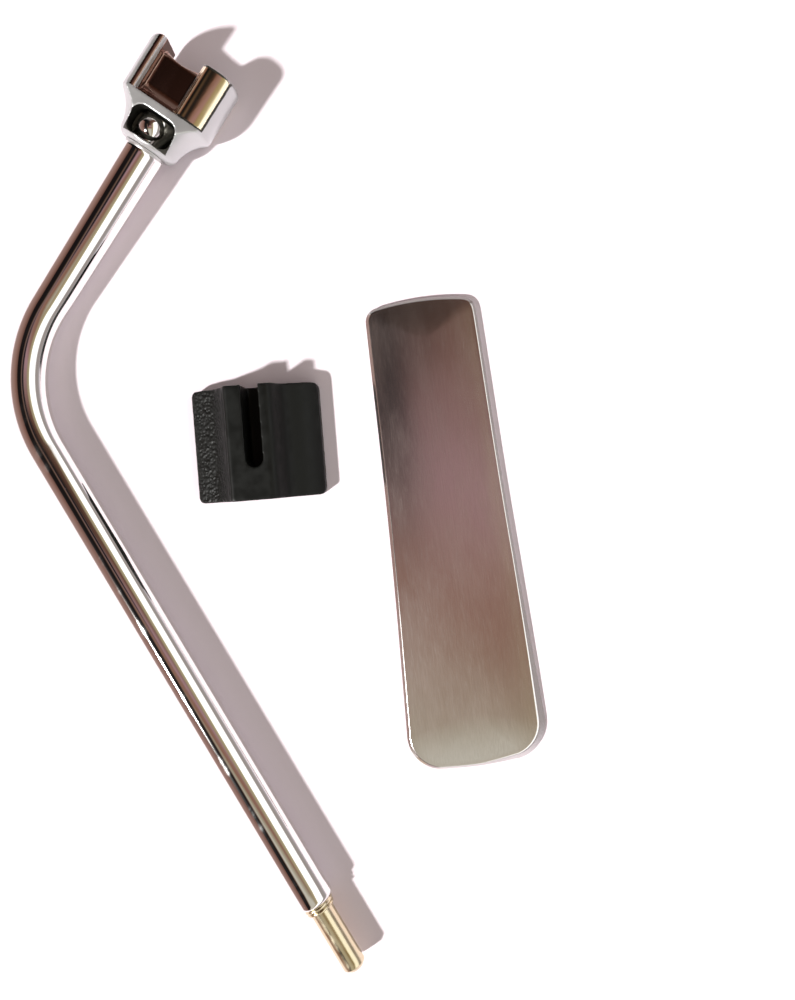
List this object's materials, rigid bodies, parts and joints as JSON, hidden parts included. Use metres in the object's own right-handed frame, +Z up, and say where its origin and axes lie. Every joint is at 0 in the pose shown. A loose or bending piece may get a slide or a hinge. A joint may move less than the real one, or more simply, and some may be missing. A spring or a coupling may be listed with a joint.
{
  "type": "sustain pedal lever set",
  "caption": "Pedal set laid out flat: bent chrome lever arm with a swivelling fork head, slotted rubber block and polished steel foot plate.",
  "frame": {"origin": "centre of the bounding box on the table plane that the three items lie on", "axes": "+Z up from the table, +Y towards the fork head end of the lever arm, +X towards the foot plate"},
  "size_m": [0.227, 0.3884, 0.0291],
  "materials": {
    "chrome": "bright chrome plate",
    "turned_steel": "turned, warm-toned plating",
    "bright_steel": "polished dome",
    "black_rubber": "moulded, part pebble-textured",
    "polished_steel": "polished with fine lengthwise hairlines"
  },
  "bodies": {
    "arm": {"lever_arm": "chrome", "spigot_pin": "turned_steel", "swivel_pin": "bright_steel"},
    "head": {"yoke": "chrome"},
    "block": {"rubber_block": "black_rubber"},
    "plate": {"pedal_plate": "polished_steel"}
  },
  "joints": [
    {"name": "head_swivel", "type": "hinge", "parent": "arm", "child": "head", "pos_m": [-0.0547, 0.14973, 0.01329], "axis": [0.544, 0.8377, 0.0471], "range_deg": [-44, 28]},
    {"name": "block_lift", "type": "slide", "parent": "arm", "child": "block", "axis": [0, 0, 1], "range_m": [0, 0.05]},
    {"name": "plate_lift", "type": "slide", "parent": "arm", "child": "plate", "axis": [0, 0, 1], "range_m": [0, 0.05]}
  ]
}
